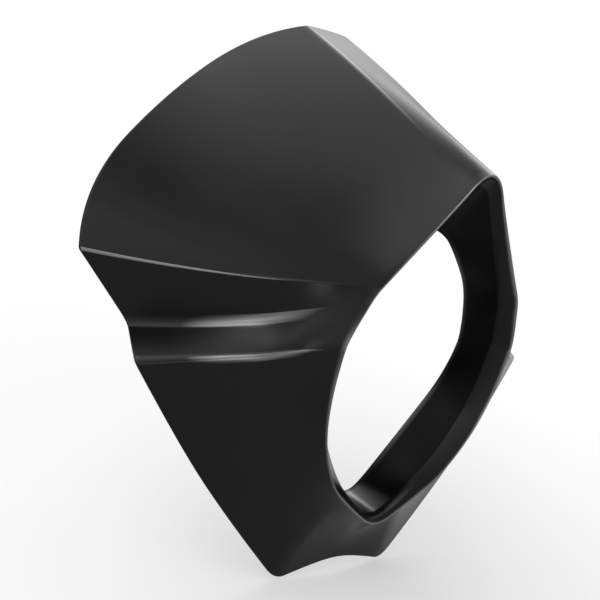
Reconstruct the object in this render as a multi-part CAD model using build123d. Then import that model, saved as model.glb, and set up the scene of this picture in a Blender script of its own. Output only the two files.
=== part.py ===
"""Headlight cowl: one moulded shell, skin and inner collar joined at the rim.

The rim lies in the plane Y = 0 with the middle of the lamp opening at the origin.
The lamp looks along -Y, the rider sits towards +Y and +Z is up.
"""
import os

from build123d import *

# Overall sizes in mm, heights and drops measured from the middle of the lamp opening.
# The width is between the corner points of the wings, just outside their rounded edge. The
# wall is thicker in the fork behind the rim, where the skin meets the collar.
width = 349.0
crown_height = 146.0
crown_depth = 156.0
chin_drop = 144.0
wall = 3.0
fork_wall = 4.2

# Lamp opening at the rim, and the end of the collar behind it
opening_width = 136.0
opening_height = 205.0
collar_width = 112.0
collar_height = 172.0
collar_depth = 30.0
collar_drop = 21.0

# How far the lip reaches inwards and backwards before the collar begins
lip_inward_sides = 6.0
lip_inward_ends = 3.0
lip_back_sides = 8.0
lip_back_ends = 4.0

# Where the surfaces hand over: the end of the skin on its way from half way to the rim, the
# flat stretch of the lip, and the start of the collar on its way to its end
skin_share = 0.98
lip_flat = (0.25, 0.75)
collar_share = 0.12

# Stations of one side, from the middle of the crown over the wing to the middle of the
# chin. Each has a curve of its own, which takes this share of the way to the next station:
# crisp corners take little, and the smooth stretches beside them the rest.
share = {
    "crown": 0.88,
    "crease": 0.05,
    "brow": 0.6,
    "fold": 0.45,
    "shoulder": 0.92,
    "ridge": 0.1,
    "under": 0.72,
    "valley": 0.28,
    "band": 0.8,
    "belt": 0.07,
    "flank": 0.5,
    "jaw": 0.8,
    "tip": 0.25,
    "arch": 0.5,
    "chin": 0.5,
}
stations = list(share)

# On the rim the corner stations lie on the line between two others, this share of the way,
# so that the creases fade out towards it
corners = {
    "crease": ("crown", "brow", 0.75),
    "ridge": ("shoulder", "under", 0.85),
    "valley": ("under", "band", 0.07),
    "belt": ("band", "flank", 0.15),
    "tip": ("jaw", "arch", 0.6),
}

# Bows at half way of the lines from the rear edge to the rim, outwards, backwards and up, as
# shares of half width, crown depth and crown height: the wing sags, its valley lies deep, and
# the cheeks and the chin flare like a trumpet
bows = {
    "crown": (0, 0, -0.055),
    "crease": (-0.075, 0, 0.034),
    "fold": (0, 0, -0.09),
    "shoulder": (-0.011, 0, -0.096),
    "ridge": (-0.009, 0, -0.038),
    "valley": (0, 0.051, -0.068),
    "flank": (-0.092, 0.013, 0.055),
    "jaw": (-0.057, 0.013, 0.068),
    "tip": (-0.023, 0.038, 0.096),
    "arch": (0, 0.045, 0.062),
    "chin": (0, 0.045, 0.062),
}


def mix(a, b, t):
    """Value at the fraction t of the way from a to b."""
    return a + (b - a) * t


def rear_point(across, back, up):
    """Point of the rear edge from shares of half width, crown depth and height or drop."""
    reach = crown_height if up > 0 else chin_drop
    return Vector(across * width / 2, back * crown_depth, up * reach)


def rim_point(across, up):
    """Point of the rim from shares of the opening's half width and half height."""
    return Vector(across * opening_width / 2, 0, up * opening_height / 2)


def collar_point(across, up):
    """Point of the collar's end from shares of its half width and half height."""
    return Vector(across * collar_width / 2, collar_depth, up * collar_height / 2 - collar_drop)


def settled(row):
    """Outline with its corner stations put on the lines between their neighbours."""
    for name, (before, after, t) in corners.items():
        row[name] = mix(row[before], row[after], t)
    return row


def flat_sided(row):
    """Row with flat facets on both sides of the valley."""
    row["under"] = mix(row["ridge"], row["valley"], 0.5)
    row["band"] = mix(row["valley"], row["belt"], 0.5)
    return row


# Rear edge: crown and crease on top, the wing's ridge, valley and belt, the chin's tip
rear = flat_sided({
    "crown": rear_point(0, 1.006, 1.011),
    "crease": rear_point(0.097, 1, 1.004),
    "brow": rear_point(0.295, 1.044, 0.909),
    "fold": rear_point(0.702, 0.805, 0.636),
    "shoulder": rear_point(0.992, 0.635, 0.335),
    "ridge": rear_point(0.993, 0.563, 0.132),
    "valley": rear_point(0.831, 0.481, -0.089),
    "belt": rear_point(0.871, 0.324, -0.16),
    "flank": rear_point(0.689, 0.252, -0.457),
    "jaw": rear_point(0.46, 0.19, -0.76),
    "tip": rear_point(0.247, 0.14, -1.012),
    "arch": rear_point(0.105, 0.133, -0.965),
    "chin": rear_point(0, 0.131, -0.948),
})

# Rim: straight sides under a narrow apex, close to an ellipse below
rim = {
    "crown": rim_point(0, 1.09),
    "brow": rim_point(0.28, 0.827),
    "under": rim_point(0.85, 0.345),
    "band": rim_point(0.993, 0.1),
    "flank": rim_point(0.988, -0.312),
    "jaw": rim_point(0.693, -0.709),
    "arch": rim_point(0.307, -0.898),
    "chin": rim_point(0, -1.025),
}
rim["fold"] = mix(rim["brow"], rim["under"], 0.74)
rim["shoulder"] = mix(rim["brow"], rim["under"], 0.86)
settled(rim)

# End of the collar: rounded above, running to a blunt point below
end = settled({
    "crown": collar_point(0, 1.02),
    "brow": collar_point(0.348, 0.906),
    "fold": collar_point(0.704, 0.687),
    "shoulder": collar_point(0.839, 0.556),
    "under": collar_point(0.936, 0.395),
    "band": collar_point(0.998, 0.247),
    "flank": collar_point(0.964, -0.01),
    "jaw": collar_point(0.568, -0.426),
    "arch": collar_point(0.134, -0.86),
    "chin": collar_point(0, -0.9),
})

# Lip: the rim moved inwards and backwards, most at the sides
lip = {}
for name, point in rim.items():
    side = abs(point.X) / (opening_width / 2)
    inward = Vector(-point.X, 0, -point.Z).normalized()
    back = Vector(0, mix(lip_back_ends, lip_back_sides, side), 0)
    lip[name] = point + inward * mix(lip_inward_ends, lip_inward_sides, side) + back
settled(lip)

# Half way from the rear edge to the rim
middle = {name: mix(rear[name], rim[name], 0.5) for name in stations}
for name, (across, back, up) in bows.items():
    middle[name] += Vector(across * width / 2, back * crown_depth, up * crown_height)
flat_sided(middle)


def whole(row):
    """Closed loop of both sides, starting at the middle of the crown."""
    side = [row[name] for name in stations]
    back = [Vector(-p.X, p.Y, p.Z) for p in side[-2:0:-1]]
    return side + back


def curves(loop):
    """Control points of the curve of each station of a closed loop."""
    side = [share[name] for name in stations[:-1]]
    shares = side + [1 - s for s in side[::-1]]
    joints = []
    for i, point in enumerate(loop):
        joints.append(mix(point, loop[(i + 1) % len(loop)], shares[i]))
    return [[joints[i - 1], point, joints[i]] for i, point in enumerate(loop)]


def blend(loop_a, loop_b, t):
    """Loop at the fraction t between two loops."""
    return [mix(a, b, t) for a, b in zip(loop_a, loop_b)]


def band(*loops):
    """Faces of one band around the part, a surface for every station."""
    rows = [curves(loop) for loop in loops]
    return [Face.make_bezier_surface([list(row) for row in grid]) for grid in zip(*rows)]


def flat_ring(outer, inner):
    """Plane face between two closed loops that lie in one plane."""
    wires = [Wire([Bezier(*run) for run in curves(loop)]) for loop in (outer, inner)]
    return Face(wires[0], [wires[1]])


def strip_normals(loop, other):
    """Outward normals of the strips after each point, between two loops."""
    normals = []
    for i in range(len(loop)):
        j = (i + 1) % len(loop)
        along = (loop[j] - loop[i]) + (other[j] - other[i])
        across = (other[i] - loop[i]) + (other[j] - loop[j])
        normals.append(along.cross(across).normalized())
    return normals


def inset(loop, normals):
    """Loop moved into the material by the wall, square to the strips at each point."""
    moved = []
    for i, point in enumerate(loop):
        one, two = normals[i - 1], normals[i]
        moved.append(point - (one + two) * (wall / (1 + one.dot(two))))
    return moved


def square_to(v, direction):
    """Part of a vector that is square to a direction."""
    return v - direction * v.dot(direction)


def meet(a, along_a, b, along_b):
    """Point where two lines of one plane cross."""
    square = along_a.cross(along_b)
    return a + along_a * ((b - a).cross(along_b).dot(square) / square.dot(square))


# Loops of the visible side
rear_loop = whole(rear)
middle_loop = whole(middle)
rim_loop = whole(rim)
lip_loop = whole(lip)
end_loop = whole(end)

# Loops of the inner side, one wall further in. Skin and collar meet there in a fork, found
# in the section square to the rim.
rear_in = inset(rear_loop, strip_normals(middle_loop, rear_loop))
middle_in = inset(middle_loop, strip_normals(rim_loop, rear_loop))
collar_in = inset(end_loop, strip_normals(end_loop, lip_loop))
end_in = []
fork = []
for i, point in enumerate(rim_loop):
    along = end_loop[i] - lip_loop[i]
    end_in.append(collar_in[i] + along * ((collar_depth - collar_in[i].Y) / along.Y))
    tangent = (rim_loop[(i + 1) % len(rim_loop)] - rim_loop[i - 1]).normalized()
    skin_way = square_to(middle_loop[i] - point, tangent)
    collar_way = square_to(along, tangent)
    skin_side = point - tangent.cross(skin_way).normalized() * fork_wall
    collar_side = point + square_to(lip_loop[i] - point, tangent)
    collar_side += tangent.cross(collar_way).normalized() * fork_wall
    fork.append(meet(skin_side, skin_way, collar_side, collar_way))

# Where one surface hands over to the next
skin_end = blend(middle_loop, rim_loop, skin_share)
lip_start = blend(rim_loop, lip_loop, lip_flat[0])
lip_end = blend(rim_loop, lip_loop, lip_flat[1])
collar_start = blend(lip_loop, end_loop, collar_share)

faces = []
faces += band(rear_in, rear_loop)
faces += band(rear_loop, middle_loop, skin_end)
faces += band(skin_end, rim_loop, lip_start)
faces += band(lip_start, lip_end)
faces += band(lip_end, lip_loop, collar_start)
faces += band(collar_start, end_loop)
faces.append(flat_ring(end_in, end_loop))
faces += band(end_in, fork)
faces += band(fork, middle_in, rear_in)

cowl = Solid(Shell(faces))
cowl.label = "cowl_shell"

os.makedirs("parts", exist_ok=True)
export_step(cowl, "parts/cowl_shell.step")
print("faces", len(faces), "volume cm3", round(cowl.volume / 1000, 1), "valid", cowl.is_valid)
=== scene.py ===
"""Looks of the headlight cowl: a fine mesh of the moulded shell, satin black plastic and a studio."""
import math

import bpy
import numpy as np
from mathutils import Matrix, Vector


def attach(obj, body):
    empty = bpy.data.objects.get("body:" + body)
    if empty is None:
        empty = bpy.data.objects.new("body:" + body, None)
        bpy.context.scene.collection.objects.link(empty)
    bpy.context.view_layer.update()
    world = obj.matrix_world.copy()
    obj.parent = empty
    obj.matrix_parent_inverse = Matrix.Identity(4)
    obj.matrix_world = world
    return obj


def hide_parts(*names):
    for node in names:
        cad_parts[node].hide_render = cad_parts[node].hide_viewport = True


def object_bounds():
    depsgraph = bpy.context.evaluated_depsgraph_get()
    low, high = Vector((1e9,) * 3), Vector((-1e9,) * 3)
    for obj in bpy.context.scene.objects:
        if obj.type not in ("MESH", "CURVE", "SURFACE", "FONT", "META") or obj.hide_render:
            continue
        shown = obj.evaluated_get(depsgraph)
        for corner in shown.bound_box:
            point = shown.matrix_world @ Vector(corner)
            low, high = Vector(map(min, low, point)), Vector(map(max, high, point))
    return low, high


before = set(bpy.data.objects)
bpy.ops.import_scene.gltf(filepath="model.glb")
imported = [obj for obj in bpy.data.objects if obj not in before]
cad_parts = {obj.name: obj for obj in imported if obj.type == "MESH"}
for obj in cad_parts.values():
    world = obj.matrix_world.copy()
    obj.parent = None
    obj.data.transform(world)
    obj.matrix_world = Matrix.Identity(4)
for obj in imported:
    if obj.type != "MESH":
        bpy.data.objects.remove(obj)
cad_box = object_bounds()

# Overall sizes of the shell in metres, as the solid has them. Heights and drops are measured
# from the middle of the lamp opening.
width = 0.349
crown_height = 0.146
crown_depth = 0.156
chin_drop = 0.144
wall = 0.003
fork_wall = 0.0042

# Lamp opening at the rim, and the end of the collar behind it
opening_width = 0.136
opening_height = 0.205
collar_width = 0.112
collar_height = 0.172
collar_depth = 0.03
collar_drop = 0.021

# How far the lip reaches inwards and backwards before the collar begins
lip_inward_sides = 0.006
lip_inward_ends = 0.003
lip_back_sides = 0.008
lip_back_ends = 0.004

# Where the surfaces hand over: the end of the skin on its way from half way to the rim, the
# flat stretch of the lip, and the start of the collar on its way to its end
skin_share = 0.98
lip_flat = (0.4, 0.6)
collar_share = 0.12

# How far the rounds of the cut edges reach from the corner
edge_round = 0.0006

# Stations of one side from crown to chin: the share of the way to the next station that
# each one's own curve takes, and how many mesh steps that curve gets
station_table = {
    "crown": (0.88, 16),
    "crease": (0.12, 10),
    "brow": (0.6, 22),
    "fold": (0.45, 18),
    "shoulder": (0.96, 16),
    "ridge": (0.05, 8),
    "under": (0.72, 12),
    "valley": (0.28, 10),
    "band": (0.8, 12),
    "belt": (0.07, 8),
    "flank": (0.5, 16),
    "jaw": (0.8, 16),
    "tip": (0.25, 12),
    "arch": (0.5, 12),
    "chin": (0.5, 12),
}
stations = list(station_table)

# Shares and mesh steps of all curves of a closed loop, one side after the other
side_shares = [share for share, steps in station_table.values()][:-1]
side_steps = [steps for share, steps in station_table.values()]
loop_shares = np.array(side_shares + [1 - share for share in side_shares[::-1]])[:, None]
loop_steps = side_steps + side_steps[-2:0:-1]

# On rim, lip and collar the corner stations lie on the line between two others, this share of
# the way
corners = {
    "crease": ("crown", "brow", 0.75),
    "ridge": ("shoulder", "under", 0.5),
    "valley": ("under", "band", 0.25),
    "belt": ("band", "flank", 0.15),
    "tip": ("jaw", "arch", 0.6),
}

# Stations on the straight side of the rim, as shares of the way from brow to under
straight_side = {"fold": 0.74, "shoulder": 0.86}

# Bows at half way of the lines from the rear edge to the rim, outwards, backwards and up, as
# shares of half width, crown depth and crown height
bows = {
    "crown": (0, 0, -0.035),
    "crease": (-0.012, 0, 0.058),
    "fold": (0, 0, -0.09),
    "shoulder": (-0.011, 0, -0.096),
    "ridge": (-0.009, 0, -0.038),
    "valley": (0, 0.051, -0.068),
    "flank": (-0.092, 0.013, 0.055),
    "jaw": (-0.057, 0.013, 0.068),
    "tip": (-0.023, 0.038, 0.096),
    "arch": (0, 0.045, 0.062),
    "chin": (0, 0.045, 0.062),
}

# Stretch of the way from the rear edge to the rim over which the wing's creases fade out
fade_stretch = (0.55, 1.0)

# Mesh rings of the bands: rounds of the cut edges, skin, turns of rim and lip, flat of the lip,
# collar, its hidden side up to the fork, and inner skin. Those of the skins crowd at the rear
# edge. Edges that turn by more than the sharp angle aren't shaded smooth.
round_rings = 4
skin_rings = 48
turn_rings = 10
lip_rings = 4
collar_rings = 8
fork_rings = 6
inner_skin_rings = 40
ring_crowding = 1.3
sharp_angle = math.radians(40)

# Gloss of the skin, the sides and the floor of the collar and the edges, and the heights
# between which the collar's sides turn into its floor
skin_gloss = 0.09
collar_gloss = 0.03
collar_floor_gloss = 1.0
edge_gloss = 1.0
collar_floor_heights = (-0.091, -0.0965)

# Outward bend of the surface, in radians per metre, at which an edge begins to shine and at
# which it shines most
edge_bend = (60, 260)

# Factors on the bend of the wing's creases at the rear edge and at the rim, so that their shine
# grows or fades on the way. The valley is hollow, so it shines where its factor is below zero.
crease_shine = {
    "ridge": (1.6, -0.3),
    "valley": (1.5, -3.0),
    "belt": (-1.2, 2.4),
}

# Black plastic: noise of its patches and of its grain, relief of the grain, and the roughness
# and colour at both ends of the patches' span
patch_noise = {"Scale": 14.0, "Detail": 3.0, "Roughness": 0.5}
grain_noise = {"Scale": 2600.0, "Detail": 2.0, "Roughness": 0.6}
grain_strength = 0.05
grain_depth = 0.0001
patch_span = (0.1, 0.9)
plastic_roughness = (0.24, 0.37)
plastic_colours = ((0.001, 0.001, 0.0011, 1), (0.005, 0.005, 0.0054, 1))
plastic_ior = 1.65

# Studio: gap between cowl and floor, half the floor's length, its colours, how white it looks
# below the cowl, the distances from the origin between which it turns all white, the ambient
# light, and how far off the lamps are
floor_gap = 0.002
floor_reach = 8.0
floor_colour = (0.85, 0.85, 0.85, 1)
white = (1, 1, 1, 1)
floor_white = 0.5
shadow_reach = (0.15, 0.5)
ambient = 0.25
lamp_distance = 1.2

# Camera place and directions in the part's frame, and its lens and sensor in millimetres
camera_place = Vector((-0.4143, -0.3152, 0.151))
view_right = Vector((0.7396, -0.6134, 0.277))
view_down = Vector((0.0303, -0.3809, -0.9241))
view_forward = Vector((0.6724, 0.6919, -0.2632))
lens = 60.0
sensor_width = 36.0

# Soft lamps: direction by the camera's right, up and forward, size in metres and power in watts
lamps = {
    "key_box": ((-0.25, 0.85, -0.45), (1.15, 0.5), 8.0),
    "top_box": ((0.1, 0.99, 0.0), (0.8, 0.8), 3.2),
    "back_box": ((0.35, 0.78, 0.53), (0.7, 0.7), 4.0),
    "front_box": ((-0.15, 0.3, -0.94), (0.35, 0.9), 2.8),
    "edge_box": ((0.08, -0.25, -0.97), (0.3, 0.2), 1.4),
}


def mix(a, b, t):
    """Value at the fraction t of the way from a to b."""
    return a + (b - a) * t


def ramp(value, start, end):
    """How far a value has come on the way from start to end, between 0 and 1."""
    return np.clip((value - start) / (end - start), 0, 1)


def unit(v):
    """Vectors of length one."""
    return v / np.linalg.norm(v, axis=-1, keepdims=True)


def dot(a, b):
    """Products of pairs of vectors."""
    return np.sum(a * b, axis=-1, keepdims=True)


def rear_point(across, back, up):
    """Point of the rear edge from shares of half width, crown depth and height or drop."""
    reach = crown_height if up > 0 else chin_drop
    return np.array([across * width / 2, back * crown_depth, up * reach])


def rim_point(across, up):
    """Point of the rim from shares of the opening's half width and half height."""
    return np.array([across * opening_width / 2, 0, up * opening_height / 2])


def collar_point(across, up):
    """Point of the collar's end from shares of its half width and half height."""
    height = up * collar_height / 2 - collar_drop
    return np.array([across * collar_width / 2, collar_depth, height])


def settled(row):
    """Outline with its corner stations put on the lines between their neighbours."""
    for name, (before, after, t) in corners.items():
        row[name] = mix(row[before], row[after], t)
    return row


def flat_sided(row):
    """Row with flat facets on both sides of the valley."""
    row["under"] = mix(row["ridge"], row["valley"], 0.5)
    row["band"] = mix(row["valley"], row["belt"], 0.5)
    return row


def outlines():
    """Rear edge, half-way line, rim, lip and collar end of one side, by station."""
    rear = flat_sided({
        "crown": rear_point(0, 1.006, 1.011),
        "crease": rear_point(0.097, 1, 1.004),
        "brow": rear_point(0.295, 1.044, 0.909),
        "fold": rear_point(0.702, 0.805, 0.636),
        "shoulder": rear_point(0.992, 0.635, 0.335),
        "ridge": rear_point(0.993, 0.563, 0.132),
        "valley": rear_point(0.831, 0.481, -0.089),
        "belt": rear_point(0.871, 0.324, -0.16),
        "flank": rear_point(0.689, 0.252, -0.457),
        "jaw": rear_point(0.46, 0.19, -0.76),
        "tip": rear_point(0.247, 0.14, -1.012),
        "arch": rear_point(0.105, 0.133, -0.965),
        "chin": rear_point(0, 0.131, -0.948),
    })

    rim = {
        "crown": rim_point(0, 1.09),
        "brow": rim_point(0.28, 0.827),
        "under": rim_point(0.85, 0.345),
        "band": rim_point(0.993, 0.1),
        "flank": rim_point(0.988, -0.312),
        "jaw": rim_point(0.693, -0.709),
        "arch": rim_point(0.307, -0.898),
        "chin": rim_point(0, -1.025),
    }
    for name, t in straight_side.items():
        rim[name] = mix(rim["brow"], rim["under"], t)
    settled(rim)

    end = settled({
        "crown": collar_point(0, 1.02),
        "brow": collar_point(0.348, 0.906),
        "fold": collar_point(0.704, 0.687),
        "shoulder": collar_point(0.839, 0.556),
        "under": collar_point(0.936, 0.395),
        "band": collar_point(0.998, 0.247),
        "flank": collar_point(0.964, -0.01),
        "jaw": collar_point(0.568, -0.426),
        "arch": collar_point(0.134, -0.86),
        "chin": collar_point(0, -0.9),
    })

    lip = {}
    for name, point in rim.items():
        side = abs(point[0]) / (opening_width / 2)
        inward = -unit(point) * mix(lip_inward_ends, lip_inward_sides, side)
        back = np.array([0, mix(lip_back_ends, lip_back_sides, side), 0])
        lip[name] = point + inward + back
    settled(lip)

    middle = {name: mix(rear[name], rim[name], 0.5) for name in stations}
    for name, bow in bows.items():
        middle[name] = middle[name] + np.array(bow) * [width / 2, crown_depth, crown_height]
    flat_sided(middle)
    return rear, middle, rim, lip, end


def whole(row):
    """Closed loop of both sides, starting at the middle of the crown."""
    side = np.array([row[name] for name in stations])
    return np.vstack([side, side[-2:0:-1] * [-1, 1, 1]])


def ring(loop):
    """Points along the closed curve of a loop."""
    after = mix(loop, np.roll(loop, -1, axis=0), loop_shares)
    before = np.roll(after, 1, axis=0)
    points = []
    for a, b, c, steps in zip(before, loop, after, loop_steps):
        t = np.linspace(0, 1, steps, endpoint=False)[:, None]
        points.append((1 - t) ** 2 * a + 2 * t * (1 - t) * b + t * t * c)
    return np.vstack(points)


def band(count, *loops):
    """Rings of one band between its first and last loop, without the last."""
    rings = []
    for t in np.linspace(0, 1, count, endpoint=False):
        if len(loops) == 2:
            loop = mix(loops[0], loops[1], t)
        else:
            loop = mix(mix(loops[0], loops[1], t), mix(loops[1], loops[2], t), t)
        rings.append(ring(loop))
    return rings


def along_chord(run):
    """How far along the line between its ends each point of a run lies."""
    chord = run[-1] - run[0]
    return (run - run[0]) @ chord / (chord @ chord)


def beside_chord(run):
    """How each point of a run lies off the line between its ends."""
    return run - mix(run[0], run[-1], along_chord(run)[:, None])


def faded(loop, rim, nearness):
    """Loop whose wing creases give way to the rim's own smooth run as it nears the rim."""
    fade = ramp(nearness, *fade_stretch)
    fade = fade * fade * (3 - 2 * fade)
    first, last = stations.index("shoulder"), stations.index("flank")
    result = loop.copy()
    for wing in (slice(first, last + 1), slice(-last, -first + 1)):
        places = along_chord(loop[wing])
        rim_places = along_chord(rim[wing])
        beside = [np.interp(places, rim_places, column) for column in beside_chord(rim[wing]).T]
        smooth = mix(loop[wing][0], loop[wing][-1], places[:, None]) + np.stack(beside, axis=1)
        result[wing] = mix(loop[wing], smooth, fade)
    return result


def skin_band(count, rear, middle, front, rim):
    """Rings of a skin from its rear edge to the rim, without the last."""
    rings = []
    for t in np.linspace(0, 1, count, endpoint=False) ** ring_crowding:
        loop = mix(mix(rear, middle, t), mix(middle, front, t), t)
        rings.append(ring(faded(loop, rim, t)))
    return rings


def strip_normals(loop, other):
    """Outward normals of the strips after each point, between two loops."""
    loop_next = np.roll(loop, -1, axis=0)
    other_next = np.roll(other, -1, axis=0)
    along = (loop_next - loop) + (other_next - other)
    across = (other - loop) + (other_next - loop_next)
    return unit(np.cross(along, across))


def inset(loop, normals):
    """Loop moved into the material by the wall, square to the strips at each point."""
    one, two = np.roll(normals, 1, axis=0), normals
    return loop - (one + two) * (wall / (1 + dot(one, two)))


def meet(a, along_a, b, along_b):
    """Points where pairs of lines of one plane cross."""
    square = np.cross(along_a, along_b)
    return a + along_a * dot(np.cross(b - a, along_b), square) / dot(square, square)


def fork_loop(middle, rim, lip, end):
    """Inner corner between skin and collar, found in the section square to the rim."""
    tangent = unit(np.roll(rim, -1, axis=0) - np.roll(rim, 1, axis=0))
    skin_way = (middle - rim) - tangent * dot(middle - rim, tangent)
    collar_way = (end - lip) - tangent * dot(end - lip, tangent)
    skin_side = rim - unit(np.cross(tangent, skin_way)) * fork_wall
    collar_side = lip - tangent * dot(lip - rim, tangent)
    collar_side = collar_side + unit(np.cross(tangent, collar_way)) * fork_wall
    return meet(skin_side, skin_way, collar_side, collar_way)


def toward(a, b, distance):
    """Points at a distance from a on the way to b."""
    return a + unit(b - a) * distance


def shell_rings():
    """Rings of the outer side from the rear edge to the lip, and of the rest back to that edge."""
    rear, middle, rim, lip, end = [whole(row) for row in outlines()]

    # Loops of the inner side, with the collar's rear face brought into one plane
    rear_in = inset(rear, strip_normals(middle, rear))
    middle_in = inset(middle, strip_normals(rim, rear))
    end_in = inset(end, strip_normals(end, lip))
    along = end - lip
    end_in += along * (collar_depth - end_in[:, 1:2]) / along[:, 1:2]
    fork = fork_loop(middle, rim, lip, end)

    # Where one surface hands over to the next, and where the rounds of the cut edges begin
    skin_end = mix(middle, rim, skin_share)
    skin_front = faded(skin_end, rim, 1)
    lip_start = mix(rim, lip, lip_flat[0])
    lip_end = mix(rim, lip, lip_flat[1])
    collar_start = mix(lip, end, collar_share)
    skin_start = toward(rear, middle, edge_round)
    collar_end = toward(end, collar_start, edge_round)
    inner_end = toward(end_in, fork, edge_round)
    inner_start = toward(rear_in, middle_in, edge_round)

    outer = band(round_rings, toward(rear, rear_in, edge_round), rear, skin_start)
    outer += skin_band(skin_rings, skin_start, middle, skin_end, rim)
    outer += band(turn_rings, skin_front, rim, lip_start)
    outer += band(lip_rings, lip_start, lip_end)
    outer += band(turn_rings, lip_end, lip, collar_start)

    inner = band(collar_rings, collar_start, collar_end)
    inner += band(round_rings, collar_end, end, toward(end, end_in, edge_round))
    inner += band(round_rings, toward(end_in, end, edge_round), end_in, inner_end)
    inner += band(fork_rings, inner_end, fork) + [ring(fork)]
    inner += skin_band(inner_skin_rings, inner_start, middle_in, fork, fork)[:0:-1]
    inner += band(round_rings, inner_start, rear_in, toward(rear_in, rear, edge_round))
    inner.append(ring(toward(rear_in, rear, edge_round)))
    return outer, inner


def step_over(grid, axis):
    """Difference between the next and the last point along one way of the grid."""
    return np.roll(grid, -1, axis=axis) - np.roll(grid, 1, axis=axis)


def station_columns(name):
    """Places in a ring of the curve of a station, on both sides."""
    starts = np.cumsum([0] + loop_steps)
    one = stations.index(name)
    other = len(loop_steps) - one
    return np.r_[starts[one]:starts[one + 1], starts[other]:starts[other + 1]]


def edge_shine(grid):
    """How much each point shines for the bend of the surface, 0 on the faces and 1 on the edges."""
    normals = unit(np.cross(step_over(grid, 0), step_over(grid, 1)))
    bend = np.zeros(grid.shape[:2])
    for axis in (0, 1):
        step = step_over(grid, axis)
        bend += (dot(step_over(normals, axis), step) / dot(step, step))[:, :, 0]

    skin = slice(0, round_rings + skin_rings)
    nearness = np.linspace(0, 1, skin.stop)[:, None]
    for name, (at_rear, at_rim) in crease_shine.items():
        bend[skin, station_columns(name)] *= mix(at_rear, at_rim, nearness)

    # The cut rear edge, where the rings begin and end, stays dull
    shine = ramp(bend, *edge_bend)
    shine[:round_rings + 1] = 0
    shine[-round_rings - 1:] = 0
    return shine


def surface_gloss(grid, collar):
    """Gloss of each point of the shell, where collar is the run of rings along the collar."""
    gloss = np.full(grid.shape[:2], skin_gloss)
    lowness = ramp(grid[collar, :, 2], *collar_floor_heights)
    gloss[collar] = mix(collar_gloss, collar_floor_gloss, lowness)
    return mix(gloss, edge_gloss, edge_shine(grid))


def build_shell():
    """Mesh of the shell: rings joined by quads, closed both ways, with a gloss at each point."""
    outer, inner = shell_rings()
    grid = np.array(outer + inner)
    rows, columns = grid.shape[:2]
    faces = []
    for i in range(rows):
        j = (i + 1) % rows
        for k in range(columns):
            m = (k + 1) % columns
            faces.append((i * columns + k, i * columns + m, j * columns + m, j * columns + k))
    mesh = bpy.data.meshes.new("cowl")
    mesh.from_pydata(grid.reshape(-1, 3).tolist(), [], faces)
    mesh.validate()
    mesh.shade_smooth()
    mesh.set_sharp_from_angle(angle=sharp_angle)
    gloss = mesh.attributes.new("gloss", "FLOAT", "POINT")
    collar = slice(len(outer), len(outer) + collar_rings)
    gloss.data.foreach_set("value", surface_gloss(grid, collar).ravel())
    shell = bpy.data.objects.new("cowl", mesh)
    bpy.context.scene.collection.objects.link(shell)
    return shell


def new_material(name):
    """Material with an empty node tree."""
    material = bpy.data.materials.new(name)
    material.use_nodes = True
    material.node_tree.nodes.clear()
    return material


def node(tree, kind, **inputs):
    """New shader node with its input sockets set by name."""
    made = tree.nodes.new(kind)
    for name, value in inputs.items():
        made.inputs[name.replace("_", " ")].default_value = value
    return made


def mapped(tree, source, span, result):
    """Socket that takes a source from one span of values to another."""
    made = node(tree, "ShaderNodeMapRange", From_Min=span[0], From_Max=span[1],
                To_Min=result[0], To_Max=result[1])
    tree.links.new(source, made.inputs["Value"])
    return made.outputs["Result"]


def combined(tree, operation, one, two):
    """Socket with the result of a maths operation on two others."""
    made = tree.nodes.new("ShaderNodeMath")
    made.operation = operation
    tree.links.new(one, made.inputs[0])
    tree.links.new(two, made.inputs[1])
    return made.outputs[0]


def black_plastic():
    """Satin black moulded plastic: patches of uneven sheen and colour, and a fine grain."""
    material = new_material("black_plastic")
    tree = material.node_tree
    link = tree.links.new
    place = tree.nodes.new("ShaderNodeTexCoord")
    patches = node(tree, "ShaderNodeTexNoise", **patch_noise)
    grain = node(tree, "ShaderNodeTexNoise", **grain_noise)
    for texture in (patches, grain):
        link(place.outputs["Object"], texture.inputs["Vector"])
    roughness = mapped(tree, patches.outputs["Fac"], patch_span, plastic_roughness)
    colour = tree.nodes.new("ShaderNodeValToRGB")
    for stop, position, shade in zip(colour.color_ramp.elements, patch_span, plastic_colours):
        stop.position = position
        stop.color = shade
    link(patches.outputs["Fac"], colour.inputs["Fac"])
    bump = node(tree, "ShaderNodeBump", Strength=grain_strength, Distance=grain_depth)
    link(grain.outputs["Fac"], bump.inputs["Height"])
    gloss = tree.nodes.new("ShaderNodeAttribute")
    gloss.attribute_name = "gloss"
    plastic = node(tree, "ShaderNodeBsdfPrincipled", IOR=plastic_ior)
    link(gloss.outputs["Fac"], plastic.inputs["Specular IOR Level"])
    link(colour.outputs["Color"], plastic.inputs["Base Color"])
    link(roughness, plastic.inputs["Roughness"])
    link(bump.outputs["Normal"], plastic.inputs["Normal"])
    output = tree.nodes.new("ShaderNodeOutputMaterial")
    link(plastic.outputs["BSDF"], output.inputs["Surface"])
    return material


def seen_rays(tree):
    """Socket that is 1 for camera, glossy and transmission rays and 0 for others."""
    path = tree.nodes.new("ShaderNodeLightPath")
    seen = combined(tree, "MAXIMUM", path.outputs["Is Camera Ray"], path.outputs["Is Glossy Ray"])
    return combined(tree, "MAXIMUM", seen, path.outputs["Is Transmission Ray"])


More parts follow.
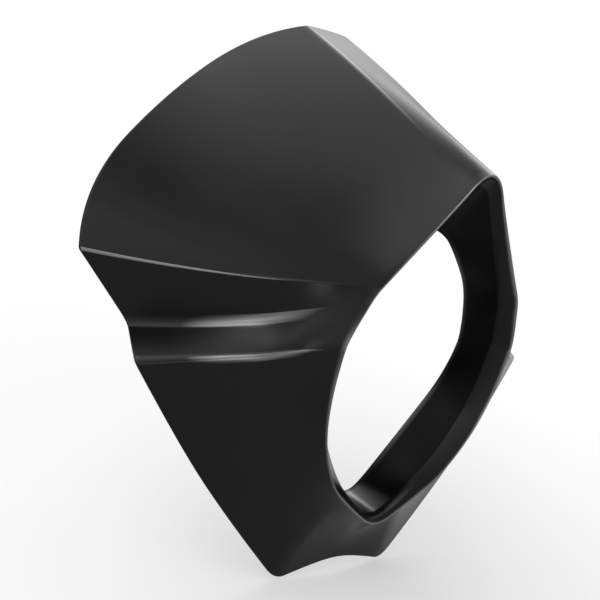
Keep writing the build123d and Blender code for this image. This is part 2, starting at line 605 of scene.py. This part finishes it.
def floor_material():
    """Pale floor that is white further out and keeps a soft shadow near the cowl."""
    material = new_material("floor")
    tree = material.node_tree
    link = tree.links.new
    place = tree.nodes.new("ShaderNodeTexCoord")
    distance = tree.nodes.new("ShaderNodeVectorMath")
    distance.operation = "LENGTH"
    link(place.outputs["Object"], distance.inputs[0])
    whiteness = mapped(tree, distance.outputs["Value"], shadow_reach, (floor_white, 1.0))
    diffuse = node(tree, "ShaderNodeBsdfDiffuse", Color=floor_colour)
    glow = node(tree, "ShaderNodeEmission", Color=white, Strength=1.0)
    mixed = tree.nodes.new("ShaderNodeMixShader")
    link(combined(tree, "MULTIPLY", seen_rays(tree), whiteness), mixed.inputs["Fac"])
    link(diffuse.outputs["BSDF"], mixed.inputs[1])
    link(glow.outputs["Emission"], mixed.inputs[2])
    output = tree.nodes.new("ShaderNodeOutputMaterial")
    link(mixed.outputs["Shader"], output.inputs["Surface"])
    return material


def add_floor(height):
    """Large plain floor under the cowl."""
    signs = ((-1, -1), (1, -1), (1, 1), (-1, 1))
    outline = [(x * floor_reach, y * floor_reach, height) for x, y in signs]
    mesh = bpy.data.meshes.new("floor")
    mesh.from_pydata(outline, [], [(0, 1, 2, 3)])
    mesh.materials.append(floor_material())
    plane = bpy.data.objects.new("floor", mesh)
    bpy.context.scene.collection.objects.link(plane)


def add_world():
    """White surroundings to the eye and in reflections, a plain ambient level for the rest."""
    world = bpy.data.worlds.new("studio")
    bpy.context.scene.world = world
    world.use_nodes = True
    tree = world.node_tree
    tree.nodes.clear()
    background = node(tree, "ShaderNodeBackground", Color=white)
    strength = mapped(tree, seen_rays(tree), (0.0, 1.0), (ambient, 1.0))
    tree.links.new(strength, background.inputs["Strength"])
    output = tree.nodes.new("ShaderNodeOutputWorld")
    tree.links.new(background.outputs["Background"], output.inputs["Surface"])


def add_softbox(name, place, size, power):
    """Soft lamp that faces the cowl, placed along the camera's own directions."""
    across, up, away = place
    direction = (view_right * across - view_down * up + view_forward * away).normalized()
    lamp = bpy.data.lights.new(name, "AREA")
    lamp.shape = "RECTANGLE"
    lamp.size, lamp.size_y = size
    lamp.energy = power
    box = bpy.data.objects.new(name, lamp)
    box.location = direction * lamp_distance
    box.rotation_euler = direction.to_track_quat("Z", "Y").to_euler()
    bpy.context.scene.collection.objects.link(box)


def add_camera():
    """Camera at the photo's viewing angle."""
    data = bpy.data.cameras.new("camera")
    data.lens = lens
    data.sensor_width = sensor_width
    camera = bpy.data.objects.new("camera", data)
    turn = Matrix((view_right, -view_down, -view_forward)).transposed().to_4x4()
    camera.matrix_world = Matrix.Translation(camera_place) @ turn
    bpy.context.scene.collection.objects.link(camera)
    bpy.context.scene.camera = camera


shell = build_shell()
shell.data.materials.append(black_plastic())
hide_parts("cowl_shell")
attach(shell, "root")

add_world()
add_floor(cad_box[0].z - floor_gap)
for name, (place, size, power) in lamps.items():
    add_softbox(name, place, size, power)
add_camera()
bpy.context.scene.view_settings.view_transform = "Standard"
